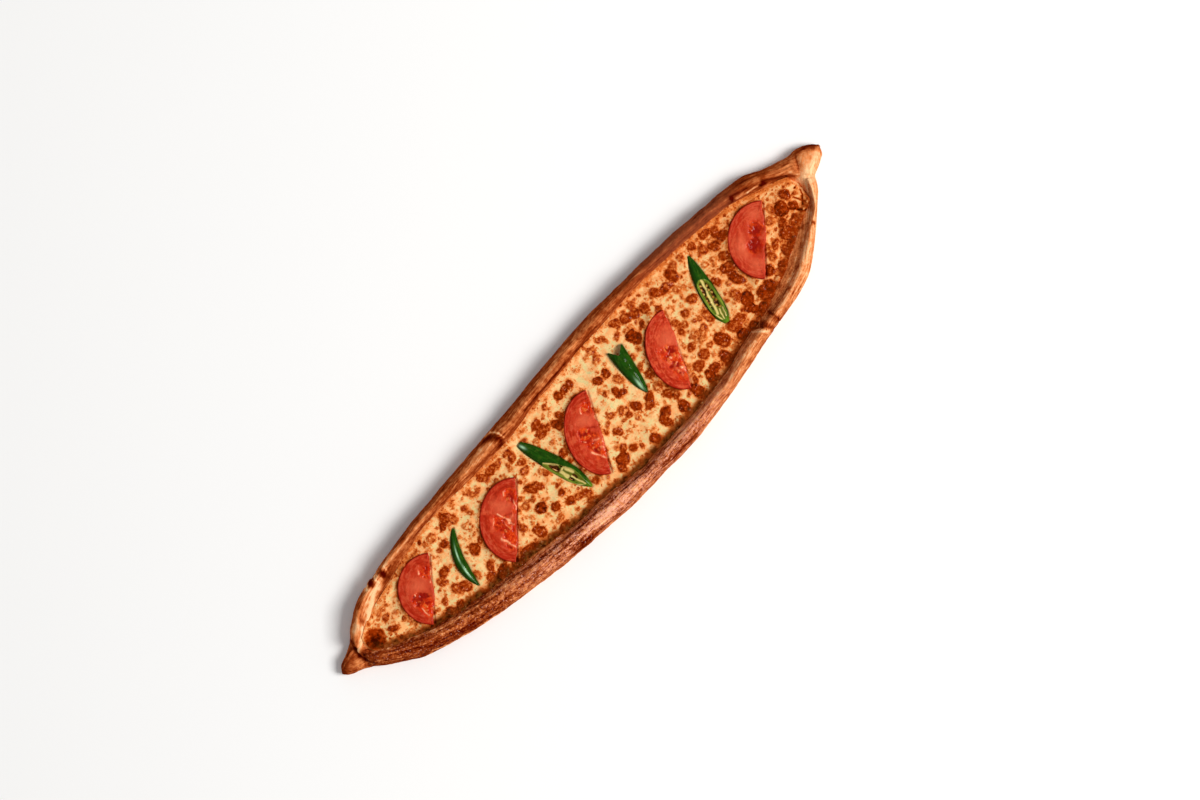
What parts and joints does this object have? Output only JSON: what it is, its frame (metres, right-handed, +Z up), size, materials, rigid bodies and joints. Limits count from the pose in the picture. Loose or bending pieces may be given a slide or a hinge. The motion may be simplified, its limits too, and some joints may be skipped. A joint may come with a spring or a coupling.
{
  "type": "turkish pide",
  "caption": "Boat of baked dough with a folded rim and pinched ends, filled with melted cheese and topped with half slices of tomato and pieces of green pepper.",
  "frame": {"origin": "middle of the bounding box's bottom, on the surface the pide rests on", "axes": "+X along the boat towards the end by tomato_5, +Y across it towards the straighter side, +Z up"},
  "size_m": [0.5, 0.115, 0.0254],
  "materials": {
    "crust": "baked dough, golden brown with browned and burnt spots",
    "cheese": "melted cheese, cream yellow with brown blisters",
    "tomato": "baked tomato, wet",
    "pepper": "baked green pepper, glossy skin"
  },
  "bodies": {
    "root": {"crust": "crust", "cheese": "cheese", "tomato_1": "tomato", "tomato_2": "tomato", "tomato_3": "tomato", "tomato_4": "tomato", "tomato_5": "tomato", "pepper_1": "pepper", "pepper_2": "pepper", "pepper_3": "pepper", "pepper_4": "pepper"}
  },
  "joints": []
}
